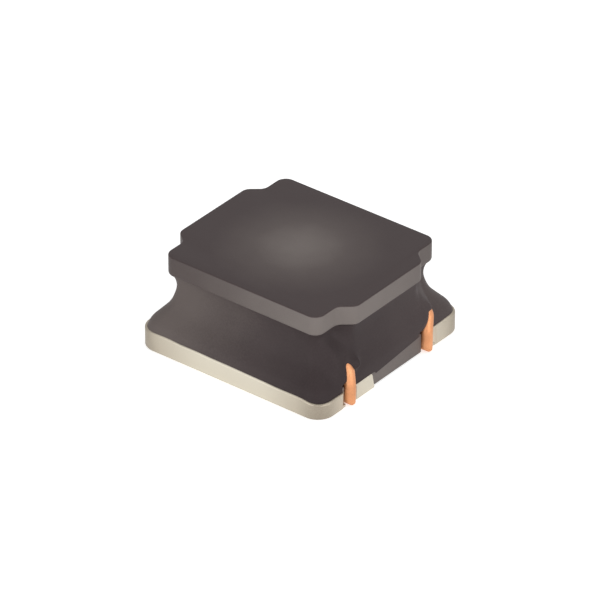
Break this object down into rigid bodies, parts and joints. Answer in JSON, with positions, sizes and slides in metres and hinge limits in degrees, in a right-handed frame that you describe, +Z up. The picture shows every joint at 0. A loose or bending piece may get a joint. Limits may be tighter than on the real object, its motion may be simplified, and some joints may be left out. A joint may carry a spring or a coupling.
{
  "type": "smd power inductor",
  "caption": "Low surface-mount power inductor with a notched ferrite cap, resin-filled waist, plated edge terminals and round copper leads on one side",
  "frame": {"origin": "centre of the footprint, on the plane of the board", "axes": "+Z up from the board through the cap, +X towards the side where both wire leads come out, +Y towards the rear terminal"},
  "size_m": [0.0061, 0.0058, 0.0027],
  "materials": {
    "ferrite": "matte",
    "ferrite_resin": "matte",
    "enamelled_copper": "satin",
    "tin_plating": "satin",
    "solder": "satin"
  },
  "bodies": {
    "root": {"drum_core": "ferrite", "magnetic_resin": "ferrite_resin", "coil": "enamelled_copper", "terminal_front": "tin_plating", "terminal_rear": "tin_plating", "solder_joint_front": "solder", "solder_joint_rear": "solder"}
  },
  "joints": []
}
